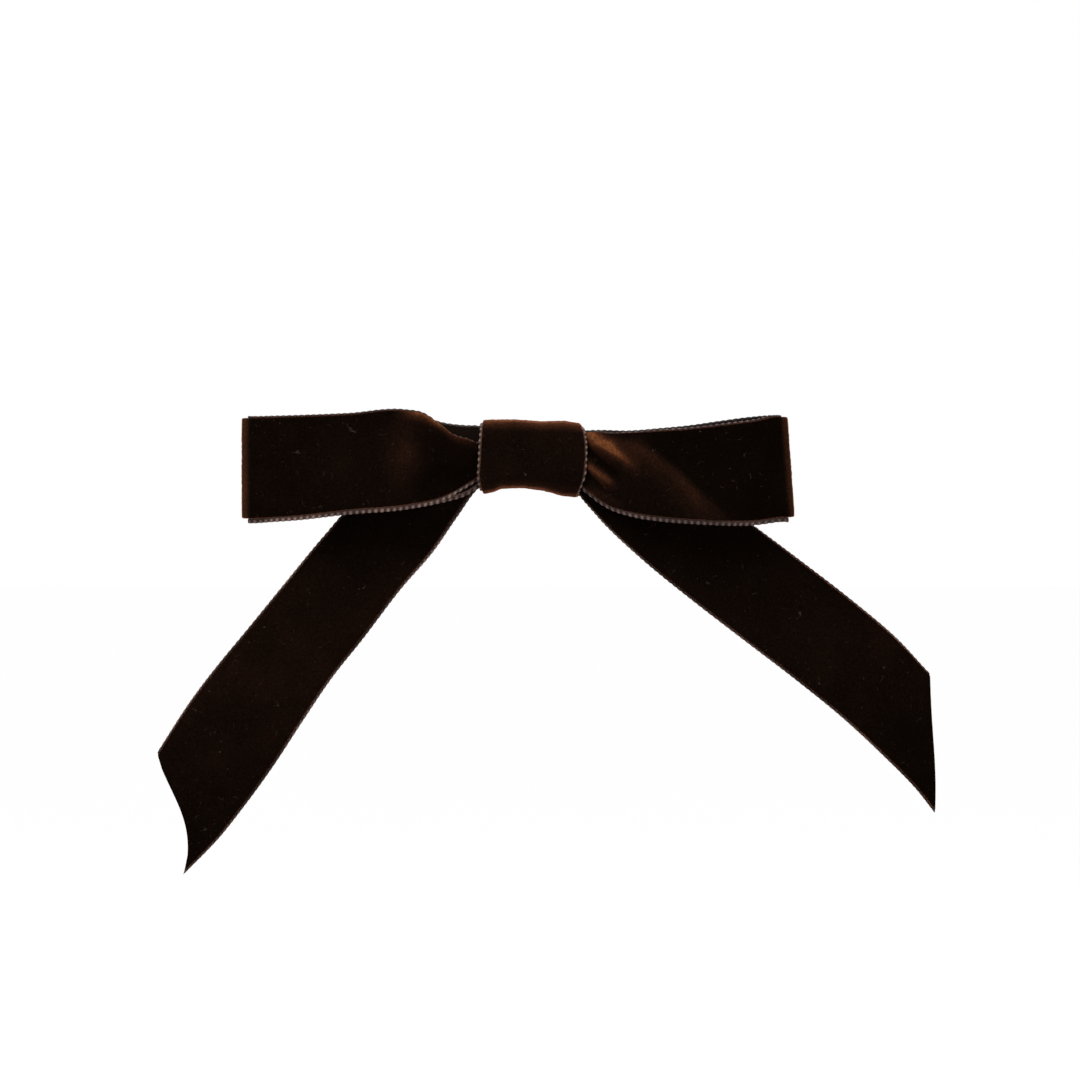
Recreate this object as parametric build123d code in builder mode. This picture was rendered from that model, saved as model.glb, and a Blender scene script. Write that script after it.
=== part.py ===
"""Hair bow of velvet ribbon on a sprung alligator clip, in millimetres.

The bow stands upright as it is worn: +X to its right, +Z up, and its face looks along -Y.
The origin is on the gripping face of the clip's fixed jaw, behind the middle of the knot.
Going forward from there, layer by layer: fixed jaw, glue, two tails, the loops' back run,
the loops' front run, the binding thread, and the knot band round all of them.
"""

import os
from math import atan2, cos, dist, pi, radians, sin, sqrt, tan

from build123d import *

# Ribbon
ribbon_width = 22.0
ribbon_thickness = 1.0
ribbon_folds = 5  # shallow arcs across the width, which carry the gathers
flat_crown = 0.03  # bow of an arc where the ribbon lies flat
pinch_ruffle = 0.3  # half depth of the gathers under the knot
layer_gap = 0.2  # clear space between gathered layers

# Loops
left_reach = 60.3
right_reach = 53.5
fold_radius = 2.2  # outer radius of the fold at a loop's end
fold_forward = 0.8  # the end folds stand this far in front of the pinched layers
left_fold_tilt = 0.0  # lean of the end fold, in degrees; its top leans towards the knot
right_fold_tilt = 4.6
pinch_height = 6.4  # height of the loops under the thread

# Tails
tail_pinch = 5.4  # height of the tails under the thread
left_shoulder = 28.2  # where a tail has spread to its full width: how far out
left_shoulder_drop = 13.3  # and how far down
left_tail_slope = 52.4  # degrees below level from there
left_tail_length = 84.8  # from there to the cut's far corner
left_cut_slant = 16.9  # the cut's near corner lies this much closer
left_cut_bow = 2.2
right_shoulder = 29.3
right_shoulder_drop = 13.9
right_tail_slope = 40.0
right_tail_length = 81.2
right_cut_slant = 20.2
right_cut_bow = 0.3

# Knot
knot_left = 11.4
knot_right = 11.3
knot_rise = 0.4  # height of the binding's middle
knot_crown = 0.8  # swell of the knot's face
knot_corner = 3.0  # outer corner radius of the wrapped band
butt_gap = 0.3  # slit between the band's two glued ends
band_clearance = 0.2

# Binding thread
thread_diameter = 0.4
thread_turns = 6
thread_pitch = 0.95
thread_run = 4.4  # straight stretch of each half turn
binding_clearance = 0.1

# Glue
glue_depth = 1.1
glue_length = 20.0
glue_margin = 0.7  # glue stops this far inside the jaw's edges
band_glue_depth = 0.3
channel_clearance = 0.2  # free space round the thread in the glue
seat_gap = 0.1  # between the glue and the tail that lies on it

# Clip
clip_sheet = 0.6
jaw_width = 8.4
jaw_tip = 28.4
tab_end = 29.0
tab_bend = 6.5  # from the finger tab's end back to where it starts to lift
tab_lift = 0.7
jaw_setback = 0.9  # the moving jaw stops this far short of the fixed jaw's tip
tab_setback = 0.5  # and this far short of its tab's end
tooth_start = 0.4
tab_root = 2.0  # the moving jaw's tab starts this far past the pin
jaw_side_gap = 0.2
moving_height = 5.0  # middle of the moving jaw's raised sheet from the grip face
moving_tip_height = 1.8
arch_start = 8.0  # the moving jaw rises from its tip to here
tooth_pitch = 2.0
tooth_depth = 0.9
tooth_count = 6
bite_gap = 0.12  # the teeth stop just short of the fixed jaw
tab_angle = 24.6  # splay of the moving jaw's finger tab
bend_radius = 5.0
rib_height = 0.35
rib_width = 0.8
rib_pitch = 2.2
rib_count = 3
rib_margin = 2.5  # from the tab's end to the first rib
rib_inset = 1.0  # the ribs stop short of the tab's edges

# Hinge and spring
pin_x = 14.5
pin_height = 2.1
pin_diameter = 1.5
pin_clearance = 0.03
rivet_diameter = 2.4
rivet_height = 0.4
rivet_clearance = 0.05
ear_radius = 1.6
ear_spread = 2.2  # half length of an ear where it leaves the sheet
wire_diameter = 0.5
coil_diameter = 2.5
coil_turns = 3  # whole turns, besides the part turn between the legs
coil_length = 3.9
fixed_leg = 10.0
moving_leg = 11.0
fixed_leg_angle = -3.0
moving_leg_angle = 23.3

# Middle of each layer, counted from the grip face; forward is negative.
left_tail_y = -(clip_sheet + glue_depth + seat_gap + ribbon_thickness / 2)
right_tail_y = left_tail_y - ribbon_thickness - layer_gap
back_run_y = right_tail_y - ribbon_thickness - pinch_ruffle - layer_gap
front_run_y = back_run_y - ribbon_thickness - 2 * pinch_ruffle - layer_gap

# The thread hugs the pinched layers, and the band hugs the thread and the fixed jaw.
thread_inset = ribbon_thickness / 2 + binding_clearance + thread_diameter / 2
thread_front = front_run_y - pinch_ruffle - thread_inset
thread_back = left_tail_y + thread_inset
thread_bend = (thread_back - thread_front) / 2
thread_half_height = thread_run / 2 + thread_bend + thread_diameter / 2
jaw_half = jaw_width / 2
inner_corner = knot_corner - ribbon_thickness
band_low = min(knot_rise - thread_half_height - band_clearance, -jaw_half - inner_corner / 2)
band_high = max(knot_rise + thread_half_height + band_clearance, jaw_half + inner_corner / 2)
band_front = thread_front - thread_diameter / 2 - band_clearance
moving_half = jaw_half - clip_sheet - jaw_side_gap

left_tail_sizes = {
    "shoulder": left_shoulder,
    "drop": left_shoulder_drop,
    "slope": left_tail_slope,
    "length": left_tail_length,
    "slant": left_cut_slant,
    "cut_bow": left_cut_bow,
}
right_tail_sizes = {
    "shoulder": right_shoulder,
    "drop": right_shoulder_drop,
    "slope": right_tail_slope,
    "length": right_tail_length,
    "slant": right_cut_slant,
    "cut_bow": right_cut_bow,
}


def ribbon_section(plane, width, wave=0.0):
    """Ribbon cut across: both faces run in shallow arcs, one thickness apart.

    A positive wave bows the outermost arcs towards +Y, whichever way the plane faces.
    """
    bow = max(abs(wave), flat_crown)
    if wave * plane.y_dir.Y < 0:
        bow = -bow
    step = width / ribbon_folds
    half = ribbon_thickness / 2
    with BuildSketch(plane) as section:
        with BuildLine():
            for face in (-half, half):
                for fold in range(ribbon_folds):
                    start = fold * step - width / 2
                    crest = face + (bow if fold % 2 == 0 else -bow)
                    ThreePointArc((start, face), (start + step / 2, crest), (start + step, face))
            Line((-width / 2, -half), (-width / 2, half))
            Line((width / 2, -half), (width / 2, half))
        make_face()
    return section.sketch


def loop_half(direction, knot_edge, reach, tilt, front, back):
    """One loop: out along its front run, round the end fold and home along its back run.

    front and back hold, for each place, how far out it lies between knot and fold (0 to 1),
    how far it swells forward, the height of its middle, its height and its wave.
    """
    bend = fold_radius - ribbon_thickness / 2
    fold_turns = range(0, 181, 30)
    fold_x = reach - fold_radius
    fold_y = (front_run_y + back_run_y) / 2 - fold_forward
    places = [(0, front_run_y, knot_rise, pinch_height, pinch_ruffle)]
    for share, forward, middle, height, wave in front:
        x = knot_edge + share * (fold_x - knot_edge)
        places.append((x, front_run_y - forward, middle, height, wave))
    tip = len(places)
    for turn in fold_turns:
        x = fold_x + bend * sin(radians(turn))
        y = fold_y - bend * cos(radians(turn))
        places.append((x, y, front[-1][2], front[-1][3], 0))
    for share, forward, middle, height, wave in reversed(back):
        x = knot_edge + share * (fold_x - knot_edge)
        places.append((x, back_run_y - forward, middle, height, wave))
    places.append((0, back_run_y, knot_rise, pinch_height, pinch_ruffle))
    last = len(places) - 1
    sections = []
    for index, (x, y, middle, height, wave) in enumerate(places):
        lean = 0
        before = places[max(index - 1, 0)]
        after = places[min(index + 1, last)]
        heading = atan2(after[1] - before[1], after[0] - before[0])
        if index == 0:
            heading = 0
        if index == last:
            heading = pi
        if tip <= index < tip + len(fold_turns):
            heading = radians(fold_turns[index - tip])
            lean = radians(tilt)
        plane = Plane(
            origin=(direction * x, y, middle),
            x_dir=(-direction * sin(lean), 0, cos(lean)),
            z_dir=(direction * cos(heading) * cos(lean), sin(heading), cos(heading) * sin(lean)),
        )
        sections.append(ribbon_section(plane, height, wave))
    loft(sections, ruled=True)


def tail_body(direction, depth, tail, root, run):
    """One tail: from under the knot to its shoulder, then down its slope to the slanted cut.

    root holds places between knot and shoulder, as parts of the way out and down, with the
    slope there, the width and the wave. run holds places beyond the shoulder, as parts of the
    tail's length, with the steps aside and back, the width and the wave.
    """
    under = thread_turns * thread_pitch / 2 + thread_diameter
    slope = radians(tail["slope"])
    down = (direction * cos(slope), -sin(slope))
    across = (direction * sin(slope), cos(slope))
    places = [
        (-direction * under, depth, knot_rise, 0, tail_pinch, 0),
        (direction * under, depth, knot_rise, 0, tail_pinch, 0),
    ]
    for out, drop, back, bend, width, wave in root:
        x = direction * out * tail["shoulder"]
        places.append((x, depth + back, -drop * tail["drop"], radians(bend), width, wave))
    for share, aside, back, width, wave in run:
        along = share * tail["length"]
        x = direction * tail["shoulder"] + along * down[0] + aside * across[0]
        z = -tail["drop"] + along * down[1] + aside * across[1]
        places.append((x, depth + back, z, slope, width, wave))
    sections = []
    for x, y, z, bend, width, wave in places:
        plane = Plane(
            origin=(x, y, z),
            x_dir=(direction * sin(bend), 0, cos(bend)),
            z_dir=(direction * cos(bend), 0, -sin(bend)),
        )
        sections.append(ribbon_section(plane, width, wave))
    loft(sections, ruled=True)
    # the slanted cut, a little bowed, drawn along the tail and across it
    cut_plane = Plane(
        origin=(direction * tail["shoulder"], 0, -tail["drop"]),
        x_dir=(down[0], 0, down[1]),
        z_dir=(0, -direction, 0),
    )
    half = ribbon_width / 2
    long_side = tail["length"]
    short_side = long_side - tail["slant"]
    middle = (long_side + short_side) / 2 - tail["cut_bow"]
    far = long_side + ribbon_width
    with BuildSketch(cut_plane) as waste:
        with BuildLine():
            ThreePointArc((short_side, half), (middle, 0), (long_side, -half))
            Polyline(
                (long_side, -half),
                (long_side + tail["slant"] / 2, -2 * half),
                (far, -2 * half),
                (far, 2 * half),
                (short_side - tail["slant"] / 2, 2 * half),
                (short_side, half),
            )
        make_face()
    extrude(waste.sketch, amount=ribbon_width, both=True, mode=Mode.SUBTRACT)


def save(part, name):
    """Label a finished piece and write it out."""
    part.label = name
    export_step(part, f"parts/{name}.step")


def biarc(start, heading, end, end_heading):
    """Two arcs that leave start along heading and reach end along end_heading."""
    span = end - start
    both = heading + end_heading
    spread = 2 * (1 - heading.dot(end_heading))
    lean = span.dot(both)
    if spread < 1e-6:
        reach = span.dot(span) / (2 * lean)
    else:
        reach = (sqrt(lean * lean + spread * span.dot(span)) - lean) / spread
    leave = start + heading * reach
    arrive = end - end_heading * reach
    joint = (leave + arrive) / 2
    TangentArc(start, joint, tangent=heading)
    TangentArc(joint, end, tangent=arrive - leave)


def self_gap(path, wire):
    """Least clear space between a winding's own turns, measured on points along it."""
    count = 700
    points = [tuple(path.position_at(n / count)) for n in range(count + 1)]
    apart = int(4 * wire / path.length * count) + 1
    least = path.length
    for n, point in enumerate(points):
        for other in points[n + apart :]:
            least = min(least, dist(point, other))
    return least - wire


os.makedirs("parts", exist_ok=True)

# ---- Loops: one length of ribbon, folded back at both ends and pinched in the middle ----
full = ribbon_width
edge_front = (0.0, 0.2, -0.75, 8.3, 0.3)
left_front = [
    edge_front,
    (0.05, 1.0, -1.1, 0.47 * full, 0.45),
    (0.12, 2.2, -1.3, 0.62 * full, 0.6),
    (0.20, 3.4, -0.8, 0.80 * full, 0.6),
    (0.30, 4.6, -0.4, 0.92 * full, 0.45),
    (0.46, 5.6, -0.9, 0.94 * full, 0.2),
    (0.66, 5.2, -1.6, 0.96 * full, 0),
    (0.85, 3.4, -2.35, 0.99 * full, 0),
]
left_back = [
    (0.0, 0.0, 0.1, 11.6, 0.3),
    (0.05, 0.0, -0.5, 0.66 * full, 0.3),
    (0.14, -0.1, -0.8, 0.76 * full, 0.3),
    (0.25, -0.2, -0.4, 0.90 * full, 0.2),
    (0.45, -0.3, -0.9, 0.94 * full, 0),
    (0.70, -0.2, -1.8, 0.96 * full, 0),
    (0.88, 0.0, -2.3, 0.98 * full, 0),
]
right_front = [
    (0.0, 0.2, -0.6, 11.6, 0.35),
    (0.05, 0.9, -1.9, 0.71 * full, 0.6),
    (0.13, 2.0, -2.9, 0.76 * full, 0.8),
    (0.22, 3.3, -3.3, 0.81 * full, 0.8),
    (0.37, 4.9, -3.6, 0.88 * full, 0.6),
    (0.53, 5.4, -3.6, 0.92 * full, 0.3),
    (0.73, 4.6, -3.0, 0.98 * full, 0),
    (0.88, 3.0, -2.4, 0.99 * full, 0),
]
right_back = [
    (0.0, 0.0, 0.0, 11.2, 0.3),
    (0.06, 0.0, -1.2, 0.67 * full, 0.3),
    (0.22, -0.1, -3.1, 0.78 * full, 0.3),
    (0.46, -0.2, -3.4, 0.89 * full, 0.1),
    (0.73, -0.1, -3.0, 0.98 * full, 0),
    (0.88, 0.0, -2.3, 0.98 * full, 0),
]
with BuildPart() as loop_ribbon:
    loop_half(-1, knot_left, left_reach, left_fold_tilt, left_front, left_back)
    loop_half(1, knot_right, right_reach, right_fold_tilt, right_front, right_back)
save(loop_ribbon.part, "loop_ribbon")

# ---- Tails: two lengths tucked under the knot, each cut at a slant ----
left_root = [
    (0.284, 0.045, 0, 16, 0.32 * full, 0),
    (0.495, 0.17, -0.1, 34, 0.40 * full, 0.1),
    (0.745, 0.496, -0.2, 43, 0.70 * full, 0.25),
    (0.995, 1.0, -0.1, 50, 0.87 * full, 0.3),
]
left_run = [
    (0.15, 0.6, -0.3, 0.905 * full, 0.25),
    (0.37, 0.75, 0.6, 0.93 * full, 0.1),
    (0.55, 0.8, 1.9, 0.97 * full, 0),
    (0.67, 0.4, 2.9, full, 0),
    (0.79, -0.2, 3.8, 0.985 * full, 0),
    (0.90, -0.3, 4.5, 0.955 * full, 0),
    (1.0, 0.2, 4.9, 0.90 * full, 0),
    (1.12, 0.3, 5.4, 0.88 * full, 0),
]
with BuildPart() as left_tail:
    tail_body(-1, left_tail_y, left_tail_sizes, left_root, left_run)
save(left_tail.part, "left_tail")

right_root = [
    (0.273, 0.043, 0.2, 16, 0.33 * full, 0),
    (0.485, 0.22, 0.5, 32, 0.44 * full, 0.1),
    (0.683, 0.518, 0.9, 39, 0.73 * full, 0.25),
    (1.0, 1.0, 1.1, 40, 0.89 * full, 0.3),
]
right_run = [
    (0.16, 0.45, 0.9, 0.915 * full, 0.2),
    (0.33, 1.15, 1.0, 0.92 * full, 0.1),
    (0.50, 1.8, 1.9, 0.918 * full, 0),
    (0.67, 1.75, 3.4, 0.9 * full, 0),
    (0.81, 0.8, 4.8, 0.88 * full, 0),
    (0.93, -0.4, 5.8, 0.87 * full, 0),
    (1.15, -2.6, 7.0, 0.87 * full, 0),
]
with BuildPart() as right_tail:
    tail_body(1, right_tail_y, right_tail_sizes, right_root, right_run)
save(right_tail.part, "right_tail")

# ---- Binding thread: one thread wound round the pinched loops and tails ----
middle_y = (thread_front + thread_back) / 2
low_z = knot_rise - thread_run / 2
high_z = knot_rise + thread_run / 2
with BuildPart() as binding_thread:
    with BuildLine() as winding:
        x = -thread_turns * thread_pitch / 2
        for turn in range(thread_turns):
            half_way = x + thread_pitch / 2
            start = Vector(x, thread_front, low_z)
            biarc(start, Vector(0, 0, 1), Vector(half_way, thread_front, high_z), Vector(0, 0, 1))
            ThreePointArc(
                (half_way, thread_front, high_z),
                (half_way, middle_y, high_z + thread_bend),
                (half_way, thread_back, high_z),
            )
            x += thread_pitch
            start = Vector(half_way, thread_back, high_z)
            biarc(start, Vector(0, 0, -1), Vector(x, thread_back, low_z), Vector(0, 0, -1))
            if turn < thread_turns - 1:
                ThreePointArc(
                    (x, thread_back, low_z),
                    (x, middle_y, low_z - thread_bend),
                    (x, thread_front, low_z),
                )
    winding_wire = winding.wires()[0]
    with BuildSketch(Plane(origin=winding_wire @ 0, z_dir=winding_wire % 0)):
        Circle(thread_diameter / 2)
    sweep()
save(binding_thread.part, "binding_thread")
print("binding thread: least gap to itself", round(self_gap(winding_wire, thread_diameter), 3))

# ---- Knot band: a short length wrapped round everything, its ends butted inside the clip ----
def band_solid(inset, mode):
    """Solid out to the band's outer face (inset 0) or to its inner face (inset one thickness)."""
    # place along X, and how far the band stands out below and above the binding
    waves = [
        (-knot_left, 0.9, 0.3),
        (-knot_left / 2, 0.1, 0.65),
        (0.0, 0.05, 0.55),
        (knot_right / 2, 1.3, 0.25),
        (knot_right, 1.8, 0.0),
    ]
    back = band_glue_depth + ribbon_thickness - inset
    front = band_front - ribbon_thickness + inset
    corner = knot_corner - inset
    sections = []
    for x, below, above in waves:
        low = band_low - ribbon_thickness - below + inset
        high = band_high + ribbon_thickness + above - inset
        with BuildSketch(Plane.YZ.offset(x)) as outline:
            with BuildLine():
                Line((front, high), (back, high))
                Line((back, high), (back, low))
                Line((back, low), (front, low))
                ThreePointArc((front, low), (front - knot_crown, (low + high) / 2), (front, high))
            make_face()
            fillet(outline.vertices(), corner)
        sections.append(outline.sketch)
    loft(sections, mode=mode)


with BuildPart() as knot_band:
    band_solid(0, Mode.ADD)
    band_solid(ribbon_thickness, Mode.SUBTRACT)
    with Locations((0, band_glue_depth + ribbon_thickness / 2, 0)):
        Box(60, 2 * ribbon_thickness, butt_gap, mode=Mode.SUBTRACT)
save(knot_band.part, "knot_band")

# ---- Glue: a pad between clip and tails, and a film under the band's ends ----
with BuildPart() as glue_pad:
    with Locations((0, -clip_sheet - glue_depth / 2, 0)):
        Box(glue_length, glue_depth, jaw_width - 2 * glue_margin)
    channel_width = (thread_turns + 1) * thread_pitch + thread_diameter
    channel_depth = thread_back + thread_diameter / 2 + channel_clearance
    channel_depth += clip_sheet + glue_depth
    with Locations((0, -clip_sheet - glue_depth + channel_depth / 2, 0)):
        Box(channel_width, channel_depth, jaw_width, mode=Mode.SUBTRACT)
save(glue_pad.part, "glue_pad")

with BuildPart() as band_glue:
    with Locations((0, band_glue_depth / 2, 0)):
        Box(glue_length, band_glue_depth, jaw_width - 2 * glue_margin)
save(band_glue.part, "band_glue")


# ---- Clip ----
def strip_outline(left, right, width):
    """Sheet seen from the front: a strip with rounded ends."""
    with BuildSketch(Plane.XZ) as outline:
        with Locations(((left + right) / 2, 0)):
            RectangleRounded(right - left, width, 0.45 * width)
    return outline.sketch


def pin_hole():
    """Running hole for the hinge pin, right through the clip."""
    with Locations((pin_x, pin_height, 0)):
        Cylinder(pin_diameter / 2 + pin_clearance, 2 * jaw_width, mode=Mode.SUBTRACT)


def ears(half, root):
    """Two ears round the pin, standing on the sheet at height root."""
    for inner in (-half, half - clip_sheet):
        with BuildSketch(Plane.XY.offset(inner)) as ear:
            with BuildLine():
                Polyline(
                    (pin_x - ear_spread, root),
                    (pin_x + ear_spread, root),
                    (pin_x + ear_radius, pin_height),
                    (pin_x - ear_radius, pin_height),
                    close=True,
                )
            make_face()
            with Locations((pin_x, pin_height)):
                Circle(ear_radius)
        extrude(ear.sketch, amount=clip_sheet)


with BuildPart() as fixed_jaw:
    with BuildSketch(Plane.XY):
        with BuildLine():
            FilletPolyline(
                (-jaw_tip, -clip_sheet / 2),
                (tab_end - tab_bend, -clip_sheet / 2),
                (tab_end, -clip_sheet / 2 - tab_lift),
                radius=bend_radius,
            )
        trace(line_width=clip_sheet)
    extrude(amount=jaw_half, both=True)
    outline = strip_outline(-jaw_tip, tab_end, jaw_width)
    extrude(outline, amount=4 * moving_height, both=True, mode=Mode.INTERSECT)
    ears(jaw_half, -clip_sheet / 2)
    pin_hole()
save(fixed_jaw.part, "fixed_jaw")

tip_x = jaw_setback - jaw_tip
tab_start = pin_x + tab_root
moving_end = tab_end - tab_setback
tab_rise = tan(radians(tab_angle))
with BuildPart() as moving_jaw:
    with BuildSketch(Plane.XY):
        with BuildLine():
            FilletPolyline(
                (tip_x, moving_tip_height),
                (-arch_start, moving_height),
                (tab_start, moving_height),
                (moving_end, moving_height + tab_rise * (moving_end - tab_start)),
                radius=bend_radius,
            )
        trace(line_width=clip_sheet)
    extrude(amount=moving_half, both=True)
    # toothed walls beside the tip
    rise = (moving_height - moving_tip_height) / (-arch_start - tip_x)
    wall_start = tip_x + tooth_start
    wall_end = wall_start + (tooth_count + 0.5) * tooth_pitch
    for inner in (-moving_half, moving_half - clip_sheet):
        with BuildSketch(Plane.XY.offset(inner)):
            with BuildLine():
                edge = [(wall_start, bite_gap)]
                for tooth in range(tooth_count):
                    x = wall_start + tooth * tooth_pitch
                    edge.append((x + tooth_pitch / 2, bite_gap + tooth_depth))
                    edge.append((x + tooth_pitch, bite_gap))
                edge.append((wall_end, moving_tip_height + rise * (wall_end - tip_x)))
                edge.append((wall_start, moving_tip_height + rise * (wall_start - tip_x)))
                Polyline(*edge, close=True)
            make_face()
        extrude(amount=clip_sheet)
    # grip ribs across the finger tab
    for rib in range(rib_count):
        x = moving_end - rib_margin - rib * rib_pitch
        face = Vector(x, moving_height + tab_rise * (x - tab_start), 0)
        out = Vector(cos(radians(tab_angle)), sin(radians(tab_angle)), 0)
        with BuildSketch(Plane(origin=face, x_dir=out, z_dir=(0, 0, 1))):
            with Locations((0, clip_sheet / 2 + rib_height / 2)):
                Rectangle(rib_width, rib_height)
        extrude(amount=moving_half - rib_inset, both=True)
    outline = strip_outline(tip_x, moving_end, 2 * moving_half)
    extrude(outline, amount=6 * moving_height, both=True, mode=Mode.INTERSECT)
    ears(moving_half, moving_height)
    pin_hole()
save(moving_jaw.part, "moving_jaw")

with BuildPart() as hinge_pin:
    with Locations((pin_x, pin_height, 0)):
        Cylinder(pin_diameter / 2, jaw_width + 2 * rivet_clearance)
    head_z = jaw_half + rivet_clearance + rivet_height / 2
    with Locations((pin_x, pin_height, head_z), (pin_x, pin_height, -head_z)):
        Cylinder(rivet_diameter / 2, rivet_height)
save(hinge_pin.part, "hinge_pin")

# ---- Torsion spring: a coil on the pin, with a leg under each finger tab ----
coil_radius = coil_diameter / 2
start_angle = fixed_leg_angle - 90
end_angle = 90 + moving_leg_angle - 360 * (coil_turns + 1)
quarter_count = round((start_angle - end_angle) / 90)


def coil_point(share):
    """Point of the coil, from 0 at the fixed leg to 1 at the moving leg."""
    angle = radians(start_angle + share * (end_angle - start_angle))
    height = coil_length * (share - 0.5)
    return Vector(pin_x + coil_radius * cos(angle), pin_height + coil_radius * sin(angle), height)


def coil_heading(share):
    """Unit direction along the wire; flat at both ends, where the legs leave."""
    angle = radians(start_angle + share * (end_angle - start_angle))
    arc_length = radians(start_angle - end_angle) * coil_radius
    climb = coil_length / arc_length if 0 < share < 1 else 0
    return Vector(sin(angle), -cos(angle), climb).normalized()


with BuildPart() as clip_spring:
    with BuildLine() as coil:
        Line(coil_point(0) - coil_heading(0) * fixed_leg, coil_point(0))
        for quarter in range(quarter_count):
            here = quarter / quarter_count
            there = (quarter + 1) / quarter_count
            biarc(coil_point(here), coil_heading(here), coil_point(there), coil_heading(there))
        Line(coil_point(1), coil_point(1) + coil_heading(1) * moving_leg)
    coil_wire = coil.wires()[0]
    with BuildSketch(Plane(origin=coil_wire @ 0, z_dir=coil_wire % 0)):
        Circle(wire_diameter / 2)
    sweep()
save(clip_spring.part, "clip_spring")
print("clip spring: least gap to itself", round(self_gap(coil_wire, wire_diameter), 3))
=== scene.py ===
"""Hair bow of chocolate velvet ribbon on a sprung alligator clip, dressed for looks.

Lengths are written in millimetres and turned to metres where a mesh is made. The bow
stands upright with its face along -Y, +X to its right and +Z up, as the frame has it.
"""

from math import cos, pi, radians, sin

import bpy
import numpy as np
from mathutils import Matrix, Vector


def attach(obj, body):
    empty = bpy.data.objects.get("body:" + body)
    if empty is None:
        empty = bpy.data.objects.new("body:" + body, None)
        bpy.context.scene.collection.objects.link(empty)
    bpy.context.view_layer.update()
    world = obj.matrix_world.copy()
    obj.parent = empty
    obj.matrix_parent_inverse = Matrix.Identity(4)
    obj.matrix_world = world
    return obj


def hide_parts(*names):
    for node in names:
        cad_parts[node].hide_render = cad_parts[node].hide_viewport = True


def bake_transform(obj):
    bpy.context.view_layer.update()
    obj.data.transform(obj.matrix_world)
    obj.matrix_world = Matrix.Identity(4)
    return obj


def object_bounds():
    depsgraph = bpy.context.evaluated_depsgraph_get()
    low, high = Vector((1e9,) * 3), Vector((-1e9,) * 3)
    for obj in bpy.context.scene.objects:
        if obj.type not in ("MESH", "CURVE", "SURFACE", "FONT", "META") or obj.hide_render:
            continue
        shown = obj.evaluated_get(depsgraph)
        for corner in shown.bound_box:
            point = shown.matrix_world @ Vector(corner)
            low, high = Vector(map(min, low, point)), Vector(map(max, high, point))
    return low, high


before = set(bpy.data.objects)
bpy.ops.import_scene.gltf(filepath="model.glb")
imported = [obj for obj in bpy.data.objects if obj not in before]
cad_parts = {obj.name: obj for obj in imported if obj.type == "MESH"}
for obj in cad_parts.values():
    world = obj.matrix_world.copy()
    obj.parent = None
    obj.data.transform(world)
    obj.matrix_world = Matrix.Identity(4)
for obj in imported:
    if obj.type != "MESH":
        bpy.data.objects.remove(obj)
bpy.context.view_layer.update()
MM = 0.001

# ---- Ribbon ----------------------------------------------------------------------------
# Single-faced velvet ribbon, 22 mm wide: a thin woven ground with a dense cut pile on its
# face, and a narrow picot selvedge down each side, where the weft turns round in small beads.
ribbon_width = 22.0
half_thick = 0.5
selvedge = 1.12
bead_pitch = 1.3
bead_height = 0.14
bead_stand = 0.14
row_step = 0.26
edge_zone = 2.2
# distance in from the edge, and height from the middle of the ribbon's thickness
edge_profile = [
    (0.0, -0.34),
    (0.14, -0.22),
    (0.40, -0.15),
    (0.70, -0.15),
    (0.96, -0.20),
    (1.08, -0.30),
    (1.12, -0.02),
    (1.16, 0.22),
    (1.26, 0.38),
    (1.5, 0.46),
]
edge_depths = np.array([depth for depth, _ in edge_profile])
edge_heights = [height for _, height in edge_profile]
woven_columns = int((edge_depths < selvedge).sum())  # columns of the mesh in each selvedge
scalloped_columns = 3  # the outermost of them, which swell outwards at every bead
scallop_rest = 0.4  # share of the swell that lies inside the ribbon's edge
back_relief = 0.06  # the two edges of the ground lie this much nearer the middle
middle_columns = 34
pile_fuzz = 0.035
ring_overlap = 2  # rows of places repeated before and after a ring, so that it closes smoothly


def linear(hex_colour):
    """A colour written as sRGB hex, as the linear values that a shader takes."""
    parts = [int(hex_colour[n : n + 2], 16) / 255 for n in (1, 3, 5)]
    return [c / 12.92 if c <= 0.04045 else ((c + 0.055) / 1.055) ** 2.4 for c in parts] + [1]


def node(tree, kind, settings=None, **inputs):
    """Adds a node; settings are its own fields or a colour ramp's stops, inputs are socket
    values or sockets to link."""
    made = tree.nodes.new(kind)
    settings = dict(settings or {})
    stops = settings.pop("stops", [])
    while len(stops) > len(made.color_ramp.elements if stops else []):
        made.color_ramp.elements.new(0.5)
    for n, (place, colour) in enumerate(stops):
        element = made.color_ramp.elements[n]
        element.position = place
        element.color = linear(colour) if isinstance(colour, str) else (colour,) * 3 + (1,)
    for field, value in settings.items():
        setattr(made, field, value)
    for name, value in inputs.items():
        socket = made.inputs[int(name[1:]) if name[1:].isdigit() else name.replace("_", " ")]
        if isinstance(value, bpy.types.NodeSocket):
            tree.links.new(value, socket)
        else:
            socket.default_value = value
    return made


def new_material(name):
    """An empty node material and its output node."""
    made = bpy.data.materials.new(name)
    made.use_nodes = True
    made.node_tree.nodes.clear()
    return made, made.node_tree


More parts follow.
